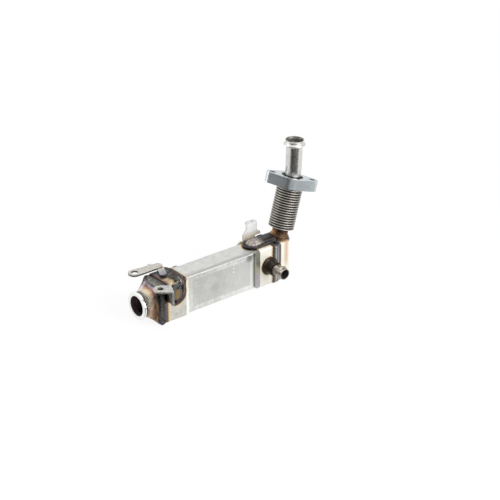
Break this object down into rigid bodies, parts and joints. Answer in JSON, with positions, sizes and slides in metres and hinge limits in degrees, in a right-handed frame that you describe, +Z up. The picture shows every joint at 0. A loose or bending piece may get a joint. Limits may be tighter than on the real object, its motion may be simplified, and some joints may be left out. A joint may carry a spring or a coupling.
{
  "type": "egr cooler",
  "caption": "Exhaust gas recirculation cooler: flat-sided welded steel body with a conical gas inlet, side coolant nipples, brackets and a leaning bellows outlet with a bolt flange.",
  "frame": {"origin": "centre of the bounding box in plan, on the surface the cooler stands on", "axes": "+X along the body from the gas inlet to the end tank, +Y across it towards the post bracket, +Z up"},
  "size_m": [0.31, 0.109, 0.2081],
  "materials": {
    "stainless_sheet": "satin rolled sheet",
    "bright_steel": "bright, turned or drawn",
    "heat_tinted_steel": "sheet tinted straw, brown, violet and blue by welding heat",
    "weld_metal": "dark oxidised weld bead",
    "bracket_steel": "pale plated sheet",
    "cast_aluminium": "matt, fine cast grain",
    "core_steel": "dull thin sheet"
  },
  "bodies": {
    "root": {"bellows": "stainless_sheet", "bracket_nut": "weld_metal", "coolant_boss_front": "heat_tinted_steel", "coolant_boss_rear": "heat_tinted_steel", "coolant_nipple_front": "bright_steel", "coolant_nipple_rear": "bright_steel", "end_tank": "stainless_sheet", "eye_bracket": "bracket_steel", "gas_fin_1": "core_steel", "gas_fin_2": "core_steel", "gas_fin_3": "core_steel", "gas_fin_4": "core_steel", "gas_fin_5": "core_steel", "gas_fin_6": "core_steel", "gas_fin_7": "core_steel", "gas_tube_1": "core_steel", "gas_tube_2": "core_steel", "gas_tube_3": "core_steel", "gas_tube_4": "core_steel", "gas_tube_5": "core_steel", "gas_tube_6": "core_steel", "gas_tube_7": "core_steel", "header_plate_inlet": "core_steel", "header_plate_outlet": "core_steel", "inlet_cone": "heat_tinted_steel", "inlet_neck_weld": "weld_metal", "inlet_seam_weld": "weld_metal", "inlet_sleeve": "heat_tinted_steel", "inlet_welding_ring": "bright_steel", "jacket": "stainless_sheet", "nut_bracket": "bracket_steel", "outlet_flange": "cast_aluminium", "outlet_seam_weld": "weld_metal", "outlet_sleeve": "stainless_sheet", "outlet_stub": "heat_tinted_steel", "outlet_tube": "bright_steel", "post_bracket": "bracket_steel", "saddle_plate": "heat_tinted_steel", "saddle_weld": "weld_metal", "side_bar_front": "heat_tinted_steel", "side_bar_rear": "heat_tinted_steel", "stub_weld": "weld_metal"}
  },
  "joints": []
}
